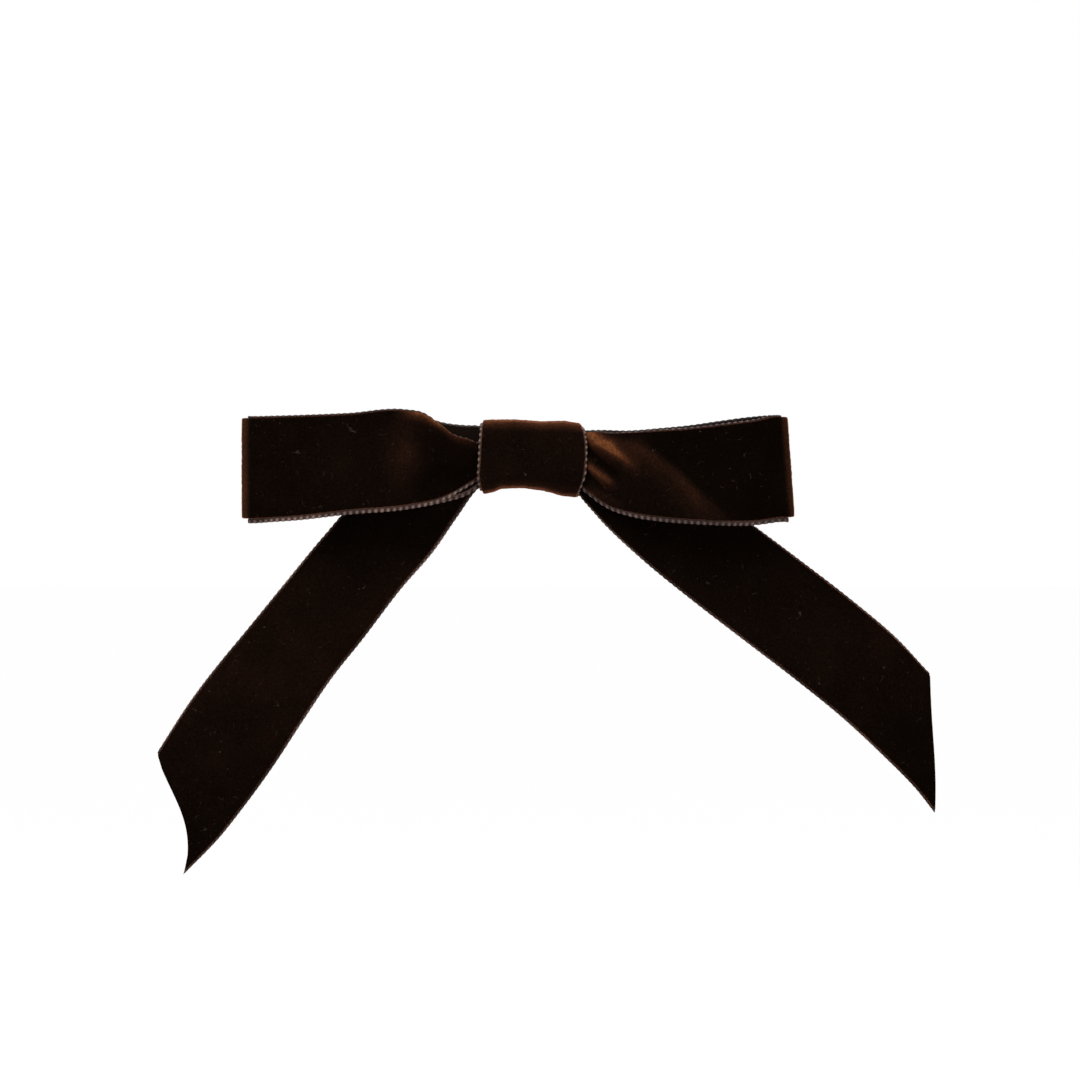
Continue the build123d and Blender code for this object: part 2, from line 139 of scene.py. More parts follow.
def velvet_pile():
    """Cut-pile rayon velvet in chocolate brown.

    Looked at straight on, the upright pile swallows light and is nearly black; where it
    curves away, the tips catch it in a red-brown and amber sheen. Brushing leaves soft patches.
    The sheen at the folds, the knot's turns and the crests, and the shade in the hollows, are
    also painted into the pile's colour through its tone attribute.
    """
    made, tree = new_material("chocolate_velvet_pile")
    place = node(tree, "ShaderNodeTexCoord").outputs["Object"]
    # the pile's tone here, from 0, upright and dark, to 1, amber: real brushing, with painted sheen
    # on folds, turns and crests and painted shade in hollows and under the loops
    tone_with_painted_light = node(tree, "ShaderNodeAttribute", {"attribute_name": "tone_with_painted_light"})
    # soft patches, 8 mm across, where it is brushed a little more or less
    patches = node(tree, "ShaderNodeTexNoise", None, Vector=place, Scale=120.0, Detail=3.0)
    level = node(
        tree,
        "ShaderNodeMath",
        {"operation": "MULTIPLY_ADD"},
        _0=patches.outputs["Fac"],
        _1=0.3,
        _2=tone_with_painted_light.outputs["Fac"],
    )
    # tips of the pile in tufts, 0.5 mm across
    tufts = node(tree, "ShaderNodeTexNoise", None, Vector=place, Scale=2200.0, Detail=3.0)
    # the upper stops give the red-brown and amber of the painted sheen
    shade = node(
        tree,
        "ShaderNodeValToRGB",
        {
            "stops": [
                (0.12, "#070402"),
                (0.3, "#0e0805"),
                (0.5, "#1a0e09"),
                (0.72, "#2f1a10"),
                (0.9, "#4c2b19"),
                (1.0, "#6b3f25"),
            ]
        },
        Fac=level.outputs[0],
    ).outputs[0]
    tips = node(
        tree,
        "ShaderNodeValToRGB",
        {"stops": [(0.3, 0.45), (0.7, 1.0)]},
        Fac=tufts.outputs["Fac"],
    ).outputs[0]
    pile = node(
        tree,
        "ShaderNodeMix",
        {"data_type": "RGBA", "blend_type": "MULTIPLY"},
        _0=1.0,
        _6=shade,
        _7=tips,
    )
    # lint: the level lines of a noise, cut short by a second one, are curved hairs
    # 0.1 mm thick and up to 2 mm long
    strand = node(tree, "ShaderNodeTexNoise", None, Vector=place, Scale=520.0, Detail=0.0)
    off = node(tree, "ShaderNodeMath", {"operation": "SUBTRACT"}, _0=strand.outputs["Fac"], _1=0.5)
    near = node(tree, "ShaderNodeMath", {"operation": "ABSOLUTE"}, _0=off.outputs[0])
    thin = node(
        tree,
        "ShaderNodeValToRGB",
        {"stops": [(0.003, 1.0), (0.009, 0.0)]},
        Fac=near.outputs[0],
    ).outputs[0]
    cutter = node(tree, "ShaderNodeTexNoise", None, Vector=place, Scale=900.0, Detail=1.0)
    short = node(
        tree,
        "ShaderNodeValToRGB",
        {"stops": [(0.62, 0.0), (0.66, 1.0)]},
        Fac=cutter.outputs["Fac"],
    ).outputs[0]
    lint = node(tree, "ShaderNodeMath", {"operation": "MULTIPLY"}, _0=thin, _1=short)
    linted = node(
        tree,
        "ShaderNodeMix",
        {"data_type": "RGBA"},
        _0=lint.outputs[0],
        _6=pile.outputs[2],
        _7=linear("#2f2521"),
    )
    bump = node(
        tree,
        "ShaderNodeBump",
        None,
        Strength=0.6,
        Distance=0.0001,
        Height=tufts.outputs["Fac"],
    )
    shader = node(
        tree,
        "ShaderNodeBsdfPrincipled",
        None,
        Base_Color=linted.outputs[2],
        Roughness=0.95,
        IOR=1.46,
        Specular_IOR_Level=0.0,
        Sheen_Weight=1.0,
        Sheen_Roughness=0.3,
        Sheen_Tint=linear("#df8a66"),
        Normal=bump.outputs[0],
    )
    node(tree, "ShaderNodeOutputMaterial", None, Surface=shader.outputs[0])
    return made


def picot_selvedge():
    """Woven selvedge of bright filament yarn, paler than the pile.

    The weft's turns stand as a row of small satin beads with dark gaps between them.
    """
    made, tree = new_material("picot_selvedge_weave")
    along = node(tree, "ShaderNodeUVMap", {"uv_map": "weave"})
    split = node(tree, "ShaderNodeSeparateXYZ", None, Vector=along.outputs[0])
    turns = node(
        tree,
        "ShaderNodeMath",
        {"operation": "MULTIPLY"},
        _0=split.outputs["X"],
        _1=1 / (bead_pitch * MM),
    )
    phase = node(tree, "ShaderNodeMath", {"operation": "FRACT"}, _0=turns.outputs[0])
    beads = node(
        tree,
        "ShaderNodeValToRGB",
        {
            "stops": [
                (0.12, "#34231e"),
                (0.34, "#6a534b"),
                (0.5, "#86706a"),
                (0.66, "#6a534b"),
                (0.88, "#34231e"),
            ]
        },
        Fac=phase.outputs[0],
    ).outputs[0]
    # next to the pile the weave is one fine even line, and only its outer side is beaded
    inwards = node(tree, "ShaderNodeAttribute", {"attribute_name": "from_edge"})
    even = node(
        tree,
        "ShaderNodeValToRGB",
        {"stops": [(0.62, 0.0), (0.78, 1.0)]},
        Fac=inwards.outputs["Fac"],
    ).outputs[0]
    weave = node(
        tree,
        "ShaderNodeMix",
        {"data_type": "RGBA"},
        _0=even,
        _6=beads,
        _7=linear("#5a463f"),
    )
    pale = node(tree, "ShaderNodeAttribute", {"attribute_name": "tone_with_painted_light"})
    place = node(tree, "ShaderNodeTexCoord").outputs["Object"]
    wear = node(tree, "ShaderNodeTexNoise", None, Vector=place, Scale=160.0, Detail=2.0)
    uneven = node(
        tree,
        "ShaderNodeValToRGB",
        {"stops": [(0.3, 0.5), (0.65, 1.0)]},
        Fac=wear.outputs["Fac"],
    ).outputs[0]
    bright = node(
        tree,
        "ShaderNodeMath",
        {"operation": "MULTIPLY"},
        _0=uneven,
        _1=pale.outputs["Fac"],
    )
    colour = node(
        tree,
        "ShaderNodeMix",
        {"data_type": "RGBA", "blend_type": "MULTIPLY"},
        _0=1.0,
        _6=weave.outputs[2],
        _7=bright.outputs[0],
    )
    shader = node(
        tree,
        "ShaderNodeBsdfPrincipled",
        None,
        Base_Color=colour.outputs[2],
        Roughness=0.55,
        IOR=1.53,
        Specular_IOR_Level=0.12,
    )
    node(tree, "ShaderNodeOutputMaterial", None, Surface=shader.outputs[0])
    return made


def woven_ground():
    """Back of the ribbon: plain-woven ground of fine filament, smooth and a little shiny."""
    made, tree = new_material("ribbon_ground_weave")
    along = node(tree, "ShaderNodeUVMap", {"uv_map": "weave"})
    # threads 0.3 mm apart, drawn coarser than the real 0.15 mm so that they show
    weft = node(
        tree,
        "ShaderNodeTexWave",
        {"bands_direction": "X"},
        Vector=along.outputs[0],
        Scale=1 / (20 * 0.3 * MM) * 2 * pi,
        Distortion=0.4,
    )
    warp = node(
        tree,
        "ShaderNodeTexWave",
        {"bands_direction": "Y"},
        Vector=along.outputs[0],
        Scale=1 / (20 * 0.3 * MM) * 2 * pi,
        Distortion=0.4,
    )
    cross = node(
        tree,
        "ShaderNodeMath",
        {"operation": "MULTIPLY"},
        _0=weft.outputs["Fac"],
        _1=warp.outputs["Fac"],
    )
    colour = node(
        tree,
        "ShaderNodeValToRGB",
        {"stops": [(0.0, "#080403"), (0.35, "#140c08"), (0.7, "#1e130e")]},
        Fac=cross.outputs[0],
    ).outputs[0]
    bump = node(
        tree, "ShaderNodeBump", None, Strength=0.5, Distance=0.00006, Height=cross.outputs[0]
    )
    shader = node(
        tree,
        "ShaderNodeBsdfPrincipled",
        None,
        Base_Color=colour,
        Roughness=0.6,
        IOR=1.53,
        Specular_IOR_Level=0.02,
        Sheen_Weight=0.08,
        Sheen_Roughness=0.4,
        Sheen_Tint=linear("#7a4a34"),
        Normal=bump.outputs[0],
    )
    node(tree, "ShaderNodeOutputMaterial", None, Surface=shader.outputs[0])
    return made


pile = velvet_pile()
picots = picot_selvedge()
ground = woven_ground()


def between(places, knots, ask):
    """Smooth values at ask, through every place at its knot, column by column."""
    gaps = np.diff(knots)
    slopes = np.diff(places, axis=0) / gaps[:, None]
    inner = (slopes[:-1] * gaps[1:, None] + slopes[1:] * gaps[:-1, None]) / (
        gaps[:-1] + gaps[1:]
    )[:, None]
    tangents = np.vstack([slopes[:1], inner, slopes[-1:]])
    spot = np.clip(np.searchsorted(knots, ask, side="right") - 1, 0, len(gaps) - 1)
    gap = gaps[spot]
    t = ((ask - knots[spot]) / gap)[..., None]
    gap = gap[..., None]
    return (
        (1 + 2 * t) * (1 - t) ** 2 * places[spot]
        + t * (1 - t) ** 2 * gap * tangents[spot]
        + t * t * (3 - 2 * t) * places[spot + 1]
        + t * t * (t - 1) * gap * tangents[spot + 1]
    )


def facing(sheet):
    """Unit normals of a grid of points, rows along the ribbon and columns across it."""
    normal = np.cross(np.gradient(sheet, axis=0), np.gradient(sheet, axis=1))
    return normal / np.linalg.norm(normal, axis=2, keepdims=True)


def ribbon(name, places, shows, paint_tone_and_light, relief=None, ring=False, cut=None, seed=1, shape=None):
    """A length of the ribbon as one closed shell: pile in front, ground behind, selvedges.

    places holds, along its length, the point on one edge, the point on the other edge and how
    far the selvedges tuck in behind the pile. Its pile is on the side of along x across, and
    shows is how much of each selvedge the pile leaves bare. The function after shows gives, at
    (points, share), the pile's tone, partly real brushing and partly painted sheen and painted
    shade, and on the selvedges how pale they are.
    relief(points) gives how far the cloth swells there, shape(points) moves the finished
    shell, ring joins its two ends, and cut(share) how much longer than the first edge the
    ribbon is at that share of its width.
    """
    places = np.array(places, float)
    if ring:
        before, after = places[-1 - ring_overlap : -1], places[1 : 1 + ring_overlap]
        places = np.vstack([before, places, after])
    middle = (places[:, :3] + places[:, 3:6]) / 2
    knots = np.concatenate([[0], np.cumsum(np.linalg.norm(np.diff(middle, axis=0), axis=1))])
    lap = ring_overlap if ring else 0
    first, last = knots[lap], knots[-1 - lap]
    rows = int((last - first) / row_step)
    steps = np.linspace(0, 1, rows + 1)
    woven = edge_depths < selvedge
    heights = np.array(edge_heights + [half_thick] * middle_columns + edge_heights[::-1])
    columns = len(heights)
    inside = np.linspace(0, 1, middle_columns + 2)[1:-1]
    bare = [
        np.where(woven, edge_depths * shown / selvedge, edge_depths - selvedge + shown)
        for shown in shows
    ]
    end_wide = np.linalg.norm(places[-1, 3:6] - places[-1, :3])
    start = edge_zone / end_wide
    plain = np.concatenate(
        [bare[0] / end_wide, start + (1 - 2 * start) * inside, 1 - bare[1][::-1] / end_wide]
    )
    long = np.array([cut(share) for share in plain]) if cut else np.zeros(columns)
    if cut:
        asked = first + steps[:, None] * (last - first + long[None, :])
    else:
        asked = first + np.repeat(steps[:, None] * (last - first), columns, axis=1)
    rails = between(places, knots, asked)
    low, high, tuck = rails[..., 0:3], rails[..., 3:6], rails[..., 6]
    wide = np.linalg.norm(high - low, axis=2)[:, :1]
    zone = edge_zone / wide
    share = np.hstack([bare[0] / wide, zone + (1 - 2 * zone) * inside, 1 - bare[1][::-1] / wide])
    cloth = low + share[..., None] * (high - low)
    if relief:
        cloth = cloth + relief(cloth, share)[..., None] * facing(cloth)
    normal = facing(cloth)
    across = np.gradient(cloth, axis=1)
    across = across / np.linalg.norm(across, axis=2, keepdims=True)
    bead = np.abs(np.sin(pi * asked / bead_pitch))
    at_edge = np.zeros(columns)
    at_edge[:woven_columns] = 1
    at_edge[-woven_columns:] = 1
    chance = np.random.default_rng(seed)
    fuzz = chance.normal(0, pile_fuzz, cloth.shape[:2]) * (1 - at_edge)
    if ring:
        fuzz[-1] = fuzz[0]
    rise = heights - at_edge * bead_height * (1 - bead) + fuzz - tuck * at_edge
    outward = np.zeros(columns)
    outward[:scalloped_columns] = -1
    outward[-scalloped_columns:] = 1
    scallop = outward * bead_stand * (bead - scallop_rest)
    face = cloth + rise[..., None] * normal + scallop[..., None] * across
    under = -half_thick - tuck * at_edge
    under_edge = np.array([back_relief] + [0.0] * (columns - 2) + [back_relief])
    back = cloth + (under + under_edge)[..., None] * normal + scallop[..., None] * across
    if shape:
        face, back = shape(face), shape(back)
    shell = np.concatenate([face, back[:, ::-1]], axis=1)
    count = rows if ring else rows + 1
    around = 2 * columns
    points = (shell[:count] * MM).reshape(-1, 3)
    faces, uses = [], []
    for r in range(rows):
        this, following = r * around, ((r + 1) % count) * around
        for c in range(around):
            d = (c + 1) % around
            faces.append((this + c, following + c, following + d, this + d))
            front = c < columns - 1
            spot = c if front else c - columns
            edge = spot < woven_columns - 1 or spot > columns - 1 - woven_columns
            edge = edge or c in (columns - 1, around - 1)
            uses.append(1 if edge else 0 if front else 2)
    if not ring:
        for end in (0, rows * around):
            for c in range(columns - 1):
                quad = (end + c, end + c + 1, end + around - 2 - c, end + around - 1 - c)
                faces.append(quad if end == 0 else quad[::-1])
                woven_end = c < woven_columns - 1 or c > columns - 1 - woven_columns
                uses.append(1 if woven_end else 0)
    mesh = bpy.data.meshes.new(name)
    mesh.from_pydata(points.tolist(), [], faces)
    weave = mesh.uv_layers.new(name="weave")
    run = np.concatenate([asked, asked[:, ::-1]], axis=1)[:count].reshape(-1)
    side = np.concatenate([share * wide, (share * wide)[:, ::-1]], axis=1)[:count].reshape(-1)
    corners = np.array([loop.vertex_index for loop in mesh.loops])
    flat = np.stack([run[corners], side[corners]], axis=1)
    if ring:
        # a face across the join takes both its sides' places from the same lap
        reach = flat[:, 0].reshape(-1, 4)
        reach[reach.max(axis=1) - reach.min(axis=1) > (last - first) / 2] %= last - first
        flat[:, 0] = reach.reshape(-1)
    weave.data.foreach_set("uv", (flat * MM).reshape(-1))
    # the pile's tone, with its painted sheen and painted shade, kept as a point attribute
    tone_with_painted_light = np.clip(paint_tone_and_light(cloth, share), 0, 1)
    in_weave = np.concatenate(
        [edge_depths, np.full(middle_columns, edge_zone), edge_depths[::-1]]
    )
    from_edge = np.repeat(in_weave[None, :], rows + 1, axis=0)
    for label, values in (("tone_with_painted_light", tone_with_painted_light), ("from_edge", from_edge)):
        layer = mesh.attributes.new(label, "FLOAT", "POINT")
        both = np.concatenate([values, values[:, ::-1]], axis=1)[:count]
        layer.data.foreach_set("value", both.reshape(-1).astype(np.float32))
    for material in (pile, picots, ground):
        mesh.materials.append(material)
    mesh.polygons.foreach_set("material_index", uses)
    mesh.polygons.foreach_set("use_smooth", [True] * len(uses))
    mesh.update()
    made = bpy.data.objects.new(name, mesh)
    bpy.context.scene.collection.objects.link(made)
    return made, last - first


# ---- Tails -----------------------------------------------------------------------------
# Two separate lengths of the ribbon, their ends tucked under the knot, pile to the front.
# Each hangs out and down at its own angle and is cut at a slant with sharp scissors.
# outer edge x and z, inner edge x and z, and how far back the middle of the cloth lies
left_tail_places = [
    (3.2, 3.1, 3.2, -2.3, -2.3),
    (-3.2, 3.1, -3.2, -2.3, -2.3),
    (-9.0, 2.8, -7.0, -4.0, -2.3),
    (-16.7, 1.7, -11.3, -6.3, -2.4),
    (-26.2, -1.0, -15.7, -12.2, -2.5),
    (-35.4, -7.4, -20.7, -19.5, -2.4),
    (-43.4, -16.2, -27.4, -27.3, -2.6),
    (-51.6, -26.1, -35.3, -37.7, -1.9),
    (-59.2, -35.4, -41.9, -46.0, -0.6),
    (-66.4, -44.1, -47.8, -54.7, 0.5),
    (-71.9, -51.4, -54.3, -64.6, 1.4),
    (-77.9, -60.7, -60.5, -73.1, 2.2),
    (-83.0, -69.0, -65.6, -79.5, 2.5),
    (-88.3, -77.5, -73.0, -87.1, 2.8),
]


def tail_places(table):
    """A tail's places, both edges at the same depth."""
    return [(ox, y, oz, ix, y, iz, 0.0) for ox, oz, ix, iz, y in table]


def tail_ripple(cloth, share):
    """Gathers that fan out of the knot, and a faint bow across the width lower down."""
    out = np.abs(cloth[..., 0])
    fan = np.clip((34 - out) / 20, 0, 1) * np.clip((out - 9) / 4, 0, 1)
    return 0.3 * fan * np.sin(share * 4 * pi) + 0.25 * np.sin(share * pi)


def left_cut(share):
    """The cut curls a little: it is bowed in between its two corners."""
    return -18.4 * (1 - share) - 2.4 * sin(share**1.4 * pi)


def on_selvedge(share):
    """1 on the two selvedges and 0 on the pile."""
    from_side = np.minimum(np.arange(share.shape[1]), np.arange(share.shape[1])[::-1])
    return (from_side < woven_columns) * np.ones(share.shape)


def left_tail_tone_and_shade(cloth, share):
    """Browner down its middle, with painted shade under the loops, and darker towards the tip."""
    drop = -cloth[..., 2]
    # painted shade where the tail comes out under the loops, browner lower down, darker again
    # towards the tip
    tone = 0.1 + 0.12 * np.clip((drop - 17) / 16, 0, 1) - 0.14 * np.clip((drop - 50) / 26, 0, 1)
    pale = 0.62 - 0.3 * np.sin(drop * 0.21)  # the selvedges come and go every 30 mm
    return np.where(on_selvedge(share) > 0, pale, tone)


left_tail, left_length = ribbon(
    "left_tail_ribbon",
    tail_places(left_tail_places),
    (0.4, 0.5),
    left_tail_tone_and_shade,
    tail_ripple,
    cut=left_cut,
    seed=2,
)
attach(left_tail, "bow")
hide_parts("left_tail")

right_tail_places = [
    (-3.2, -2.3, -3.2, 3.1, -3.5),
    (3.2, -2.3, 3.2, 3.1, -3.5),
    (8.0, -6.0, 8.8, 3.0, -3.3),
    (11.0, -9.5, 16.2, 1.3, -3.0),
    (15.0, -14.0, 25.1, -0.9, -2.6),
    (23.0, -21.4, 35.6, -6.4, -2.4),
    (33.0, -29.5, 46.2, -14.2, -2.6),
    (43.9, -37.9, 55.7, -21.3, -2.5),
    (54.9, -46.3, 66.5, -29.6, -1.6),
    (65.1, -54.6, 76.0, -37.6, -0.1),
    (73.8, -62.7, 82.9, -44.9, 1.3),
    (80.0, -69.0, 90.0, -52.0, 2.3),
    (84.1, -74.2, 96.0, -58.5, 2.8),
]


def right_cut(share):
    """A slanting cut, very slightly hollow."""
    return -17.2 * share - 1.1 * sin(share * pi)


def right_tail_tone_and_shade(cloth, share):
    """Dark, with painted shade under the loop, a little browner half way down and darker towards
    the tip.
    """
    drop = -cloth[..., 2]
    # painted shade just under the loop, browner half way down, darker again towards the tip
    tone = 0.08 + 0.08 * np.clip((drop - 20) / 12, 0, 1) - 0.12 * np.clip((drop - 44) / 18, 0, 1)
    pale = 0.45 - 0.25 * np.sin(drop * 0.3)
    return np.where(on_selvedge(share) > 0, pale, tone)


right_tail, right_length = ribbon(
    "right_tail_ribbon",
    tail_places(right_tail_places),
    (0.45, 0.3),
    right_tail_tone_and_shade,
    tail_ripple,
    cut=right_cut,
    seed=3,
)
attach(right_tail, "bow")
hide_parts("right_tail")

# ---- Loops -----------------------------------------------------------------------------
# One length of the ribbon folded into two loops, pile outwards, and pinched in the middle.
# The end folds are pressed nearly flat; the fronts swell and gather towards the knot.
# x, y, low edge z and high edge z of the middle of the cloth, outwards from the knot
left_front = [
    (-6.0, -6.8, -3.0, 3.4),
    (-11.4, -7.0, -5.0, 3.3),
    (-13.6, -7.7, -6.3, 4.1),
    (-16.8, -8.9, -8.1, 5.1),
    (-19.6, -9.9, -9.4, 7.4),
    (-22.4, -10.7, -10.1, 9.25),
    (-26.4, -11.5, -10.8, 9.95),
    (-38.0, -12.3, -11.8, 9.15),
    (-48.0, -11.5, -12.95, 8.75),
    (-54.5, -9.7, -13.4, 8.6),
]
left_back = [
    (-52.5, -5.0, -13.1, 8.4),
    (-44.0, -4.8, -12.3, 8.7),
    (-32.0, -4.7, -11.2, 9.2),
    (-23.0, -4.8, -10.2, 8.5),
    (-17.9, -4.9, -9.1, 7.15),
    (-13.7, -5.0, -7.8, 6.7),
    (-11.2, -5.0, -6.2, 6.6),
    (-6.0, -5.0, -3.0, 3.8),
]
right_back = [
    (6.0, -5.0, -3.2, 3.8),
    (11.2, -5.0, -6.8, 5.6),
    (13.7, -5.0, -8.8, 5.7),
    (20.1, -4.9, -11.7, 5.6),
    (26.5, -4.8, -12.9, 6.1),
    (32.7, -4.8, -13.3, 6.7),
    (38.9, -4.9, -13.6, 7.6),
    (45.4, -5.0, -13.3, 8.45),
]
right_front = [
    (46.5, -9.8, -14.0, 7.9),
    (40.5, -11.3, -14.15, 7.1),
    (32.5, -12.1, -13.75, 6.15),
    (26.1, -11.6, -13.2, 5.75),
    (20.1, -10.1, -12.2, 5.4),
    (16.5, -8.8, -11.1, 5.3),
    (13.3, -7.7, -9.2, 5.6),
    (11.3, -7.0, -7.6, 5.5),
    (6.0, -6.8, -3.0, 3.6),
]
fold_middle_radius = 1.7
fold_depth = -6.7  # y of the middle of both end folds
fold_tuck = 0.62  # the selvedges draw in behind the pile there
front_y = -6.75  # the cloth in front of this is the loops' fronts


def fold(low_x, low_z, high_x, high_z, start, end):
    """Places round an end fold, its two edges turning about their own centres."""
    made = []
    for turn in np.radians(np.linspace(start, end, 7)):
        step = fold_middle_radius * sin(turn)
        y = fold_depth - fold_middle_radius * cos(turn)
        made.append((high_x + step, y, high_z, low_x + step, y, low_z, fold_tuck))
    return made


def run_places(table):
    """A run's places, both edges straight above each other."""
    return [(x, y, high, x, y, low, 0.0) for x, y, low, high in table]


loop_places = (
    run_places(left_front)
    + fold(-58.2, -13.6, -58.2, 8.55, 0, -180)
    + run_places(left_back)
    + run_places(right_back)
    + fold(52.35, -13.3, 50.75, 8.8, 180, 0)
    + run_places(right_front)
)
loop_places.append(loop_places[0])


def gathers(cloth, table):
    """The sum of gathers. Each is a line of places outwards from the knot, as x, z, how high
    the gather rises there, and how wide it spreads."""
    x, z = cloth[..., 0], cloth[..., 2]
    total = 0.0
    for places in table:
        xs, middle, rise, spread = np.array(sorted(places), float).T
        away = (z - np.interp(x, xs, middle)) / np.interp(x, xs, spread)
        total = total + np.interp(x, xs, rise) * np.exp(-away * away)
    return total


left_gathers = [
    [
        (-9, 1.4, 0, 1.2),
        (-12, 1.6, 0.6, 1.4),
        (-17, 3.4, 1.1, 2.2),
        (-24, 6.5, 0.6, 3),
        (-32, 7, 0, 4),
    ],
    [
        (-9, -2, 0, 1.2),
        (-12, -2.4, -0.5, 1.4),
        (-17, -4.6, -1.3, 2),
        (-22, -5.6, -0.9, 3),
        (-28, -5, 0, 4),
    ],
    [(-9, -4, 0, 1), (-12, -4.4, 0.3, 1), (-17, -7.9, 0.5, 1.2), (-24, -9.6, 0, 2)],
]
right_gathers = [
    [
        (9, 3.6, 0, 1.4),
        (11.6, 4.2, 0.6, 1.6),
        (16, 4.0, 1.2, 2.2),
        (20, 2.6, 1.5, 2.8),
        (27, -1.5, 1.4, 3.6),
        (37, -8.5, 1.0, 5),
        (44, -12, 0, 6),
    ],
    [(9, 2, 0, 1), (11.6, 1.9, -0.5, 1.3), (15.5, -1.6, -1.0, 1.7), (19, -4, 0, 2)],
    [(9, -0.6, 0, 0.9), (11.6, -1.0, 0.45, 1.1), (15.7, -4.6, 0.85, 1.5), (20, -7.5, 0, 2)],
    [(9, -3, 0, 0.8), (11.6, -3.4, -0.3, 1.0), (15.5, -7.0, -0.6, 1.2), (19, -9, 0, 1.4)],
    [(9, -5, 0, 1), (11.8, -5.8, 0.4, 1.1), (16, -9.0, 0.7, 1.2), (22, -11.4, 0, 2)],
]


def loop_gathers(cloth, share):
    """The gathers of both loops' fronts, as the knot pinches them."""
    x = cloth[..., 0]
    fronts = (cloth[..., 1] < front_y).astype(float)
    left, right = gathers(cloth, left_gathers), gathers(cloth, right_gathers)
    return fronts * (left * (x < 0) + right * (x > 0))


def patch(cloth, x, z, wide, high):
    """A soft oval patch round x and z, 1 in its middle."""
    return np.exp(-(((cloth[..., 0] - x) / wide) ** 2) - ((cloth[..., 2] - z) / high) ** 2)


# crests beside the knot, in the table's way: painted highlights where the pile turns amber, and
# painted shade in the hollows, where it is darker
painted_crest_highlights_and_hollows = [
    [
        (9, 5.2, 0, 1.6),
        (11.7, 5.2, 0.62, 1.7),
        (15, 3.3, 0.72, 1.5),
        (18.4, 0.6, 0.5, 1.4),
        (23, -3, 0, 2),
    ],
    [(9, 2, 0, 1), (11.6, 1.6, -0.5, 1.1), (15.5, -2.2, -0.5, 1.1), (19, -4, 0, 1.6)],
    [(9, -1, 0, 0.8), (11.4, -1.5, 0.62, 0.8), (15.8, -4.8, 0.55, 0.9), (18, -6, 0, 1.2)],
    [(9, -6, 0, 0.8), (11.8, -6.6, 0.42, 0.8), (16, -9.0, 0.42, 0.8), (20, -10.6, 0, 1.2)],
]
# the long ridge across the right loop, as x and z
long_ridge = np.array([(11, 5.2), (18, 4.6), (23, 3.0), (30, -2.4), (37, -9.0), (46, -16)])


def loop_tone_and_painted_light(cloth, share):
    """Dark on the flats, with painted red-brown sheen at the end folds, and painted amber
    highlights and painted shade on the gathers.
    """
    x, y, z = cloth[..., 0], cloth[..., 1], cloth[..., 2]
    fronts = (y < front_y).astype(float)
    # painted red-brown sheen on the two end folds, where the cloth turns away
    tone = 0.06 + 0.52 * np.clip((-x - 58.3) / 0.9, 0, 1)
    tone = tone + 0.62 * np.clip((x + z * 0.08 - 51.6) / 0.8, 0, 1)
    # painted sheen along the left loop's top edge where it turns over towards the knot, and a
    # painted amber highlight beside it; painted shade in the dull patch below it, and lighter
    # patches further out
    top_edge_sheen = np.exp(-((share * ribbon_width / 1.7) ** 2))
    by_knot = np.clip((-9 - x) / 2, 0, 1) * np.clip((x + 29) / 5, 0, 1)
    left = 0.85 * by_knot * top_edge_sheen + 0.2 * patch(cloth, -20.5, 7.5, 2.2, 2)
    left += 0.36 * patch(cloth, -26.5, 1.5, 3.8, 8) - 0.3 * patch(cloth, -18.5, -5.5, 5, 3)
    left += 0.1 * patch(cloth, -40, -2, 9, 7)
    # the right loop is lighter below its long ridge, a painted highlight where it faces the light,
    # and flat and black above it, painted shade where it faces away
    below = np.interp(x, *long_ridge.T) - z
    lit = 1 / (1 + np.exp(-below / 1.6 * 3.5))
    reach = np.clip((44 - x) / 10, 0, 1) * np.clip((x - 9) / 2, 0, 1)
    right = 0.38 * lit * reach * np.exp(-((below / 7) ** 2)) - 0.16 * (1 - lit)
    # painted highlights on the crests, painted shade in the hollows between them
    right = right + gathers(cloth, painted_crest_highlights_and_hollows)
    tone = tone + fronts * (left * (x < 0) + right * (x > 0))
    # the lower selvedge is the paler one, and the left loop's more than the right's
    lower = share > 0.5
    pale = np.where(lower, 0.95, 0.4) * np.where(x > 0, 0.6, 1.0)
    pale = pale + 0.3 * (~lower & (x > 18) & (y < -6))
    return np.where(on_selvedge(share) > 0, pale, tone)


loops, loop_length = ribbon(
    "loop_ribbon_velvet",
    loop_places,
    (0.35, 0.95),
    loop_tone_and_painted_light,
    loop_gathers,
    ring=True,
    seed=4,
)
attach(loops, "bow")
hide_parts("loop_ribbon")

# ---- Knot band -------------------------------------------------------------------------
# A short length of the ribbon wrapped round the pinched loops, the tails and the clip's
# fixed jaw, pile outwards; its two ends are butted and glued inside the clip.
# y, z of the middle of the cloth, and x of the left and the right selvedge
knot_places = [
    (0.8, 0.25, -11.3, 11.2),
    (0.8, 2.6, -11.3, 11.2),
    (0.6, 5.2, -11.2, 11.1),
    (-0.9, 6.9, -11.0, 10.9),
    (-3.4, 7.25, -10.8, 10.6),
    (-6.2, 7.2, -10.8, 10.6),
    (-7.9, 6.4, -10.85, 10.9),
    (-8.75, 4.6, -11.0, 11.2),
    (-8.85, 2.3, -11.15, 11.35),
    (-8.85, -0.8, -11.3, 11.3),
    (-8.75, -4.0, -11.45, 10.9),
    (-7.9, -5.8, -11.2, 10.1),
    (-6.2, -6.7, -10.9, 9.7),
    (-3.4, -6.7, -10.8, 9.8),
    (-0.9, -6.5, -11.0, 10.4),
    (0.6, -4.6, -11.2, 11.1),
    (0.8, -2.2, -11.3, 11.2),
    (0.8, -0.05, -11.3, 11.2),
]
band_places = [(left, y, z, right, y, z, 0.0) for y, z, left, right in knot_places]


